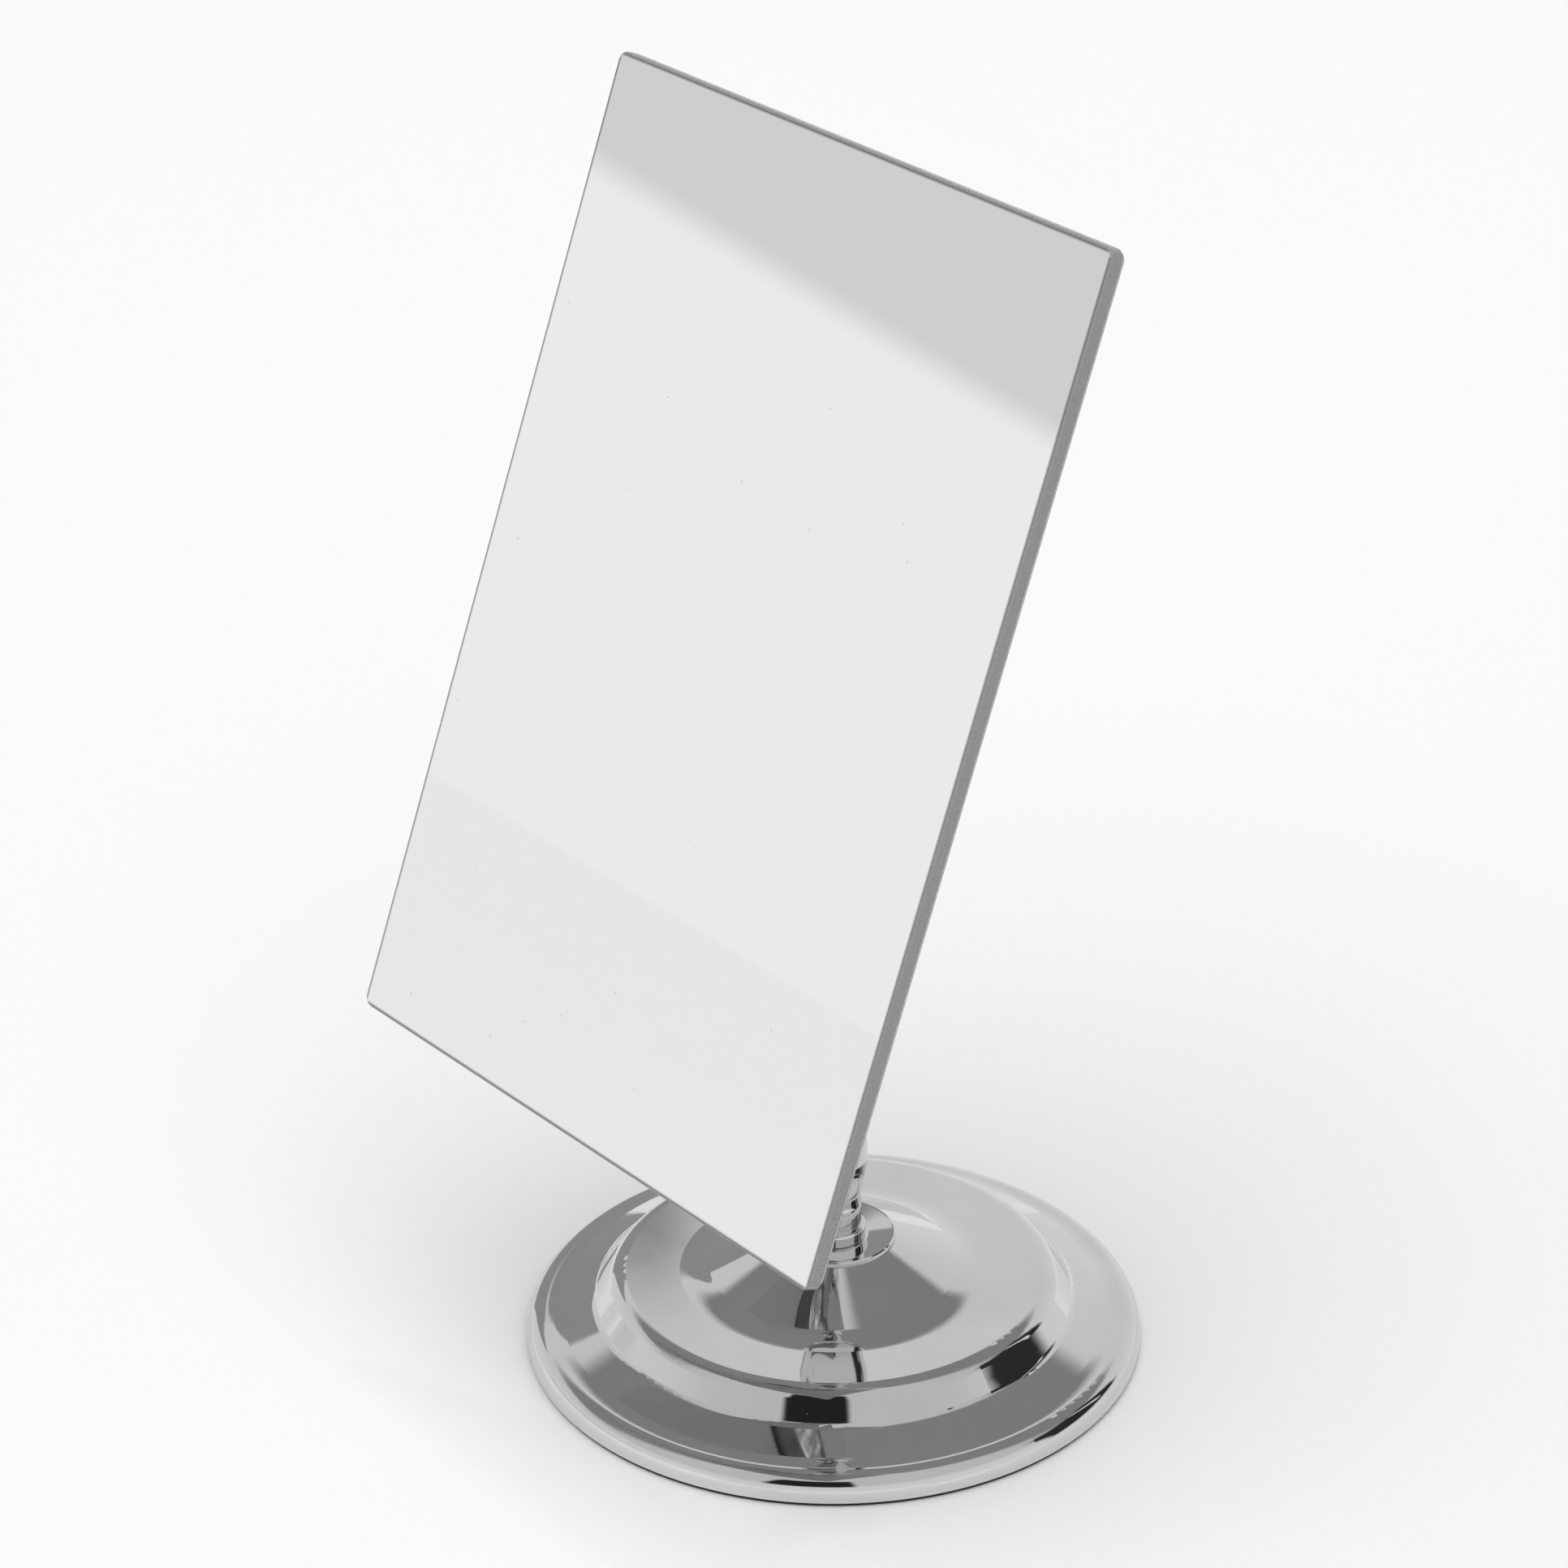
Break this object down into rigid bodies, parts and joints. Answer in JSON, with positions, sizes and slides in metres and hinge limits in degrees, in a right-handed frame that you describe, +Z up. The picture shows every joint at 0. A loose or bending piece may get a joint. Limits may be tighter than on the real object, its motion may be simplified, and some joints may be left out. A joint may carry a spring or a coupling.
{
  "type": "countertop display mirror",
  "caption": "Rectangular frameless mirror that swivels and tilts on a turned chrome stem with a round stepped, weighted foot.",
  "frame": {"origin": "centre of the foot's underside, on the stem axis, where it rests on the counter", "axes": "+Z up along the stem, the mirror faces -Y and its width runs along X"},
  "size_m": [0.17, 0.1541, 0.3093],
  "materials": {
    "chrome_plate": "polished",
    "zinc_steel": "zinc plated",
    "iron_slug": "as cast",
    "pad_rubber": "matt",
    "nylon": "natural",
    "fibre": "matt",
    "plate_paint": "satin black powder coat",
    "foam": "foam tape",
    "back_film": "grey mirror-back paint",
    "silvering": "silvered",
    "clear_glass": "polished, ground arrises"
  },
  "bodies": {
    "foot": {"base_pan": "chrome_plate", "base_pad": "pad_rubber", "base_weight": "iron_slug", "rod_washer": "zinc_steel", "rod_nut": "zinc_steel", "tie_rod": "zinc_steel", "stem_cup": "chrome_plate", "stem_collar": "chrome_plate", "stem_vase": "chrome_plate", "stem_ring": "chrome_plate", "stem_column": "chrome_plate", "stem_ferrule": "chrome_plate", "swivel_bush": "nylon", "swivel_grub_screw": "zinc_steel", "thrust_washer": "nylon"},
    "head": {"swivel_fork": "chrome_plate", "friction_washers": "fibre", "pivot_bolt": "zinc_steel", "pivot_spring_washer": "zinc_steel", "pivot_nut": "chrome_plate"},
    "mirror": {"tilt_arm": "chrome_plate", "flange_screws": "zinc_steel", "mounting_plate": "plate_paint", "adhesive_pad": "foam", "mirror_backing": "back_film", "silver_layer": "silvering", "mirror_glass": "clear_glass"}
  },
  "joints": [
    {"name": "swivel", "type": "hinge", "parent": "foot", "child": "head", "pos_m": [0, 0, 0.1638], "axis": [0, 0, 1], "continuous": true},
    {"name": "tilt", "type": "hinge", "parent": "head", "child": "mirror", "pos_m": [0, 0, 0.1837], "axis": [1, 0, 0], "range_deg": [-50, 28]}
  ]
}
